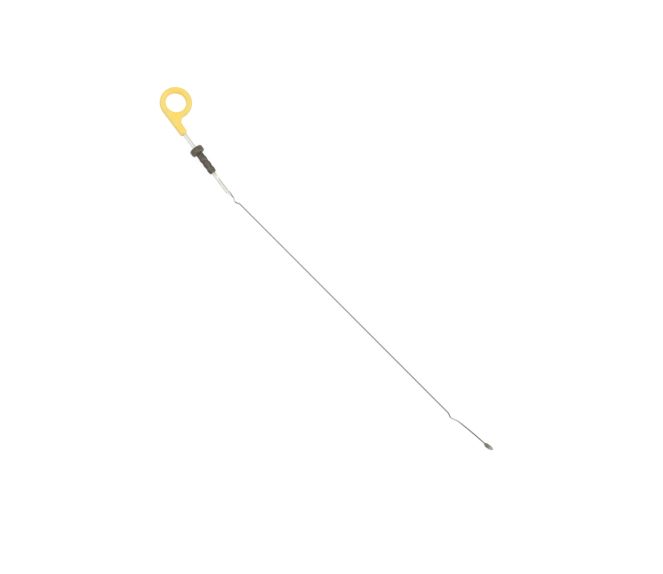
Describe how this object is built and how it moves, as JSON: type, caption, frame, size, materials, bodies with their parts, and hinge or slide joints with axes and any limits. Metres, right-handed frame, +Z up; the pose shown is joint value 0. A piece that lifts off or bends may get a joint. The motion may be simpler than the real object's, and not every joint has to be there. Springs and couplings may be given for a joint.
{
  "type": "engine oil dipstick",
  "caption": "Engine oil dipstick: a finger-ring handle, a ribbed rubber stopper that seals in the tube, and a twisted, kinked steel blade with a flat rounded tip.",
  "frame": {"origin": "on the surface that it lies on, under the middle of its length and breadth", "axes": "+X from the handle towards the tip, +Y to the side that the finger ring stands off to, +Z up from the surface"},
  "size_m": [0.512, 0.0679, 0.0146],
  "materials": {
    "handle": "gloss",
    "stopper": "satin",
    "blade": "satin"
  },
  "bodies": {
    "root": {"handle": "handle", "stopper": "stopper", "blade": "blade"}
  },
  "joints": []
}
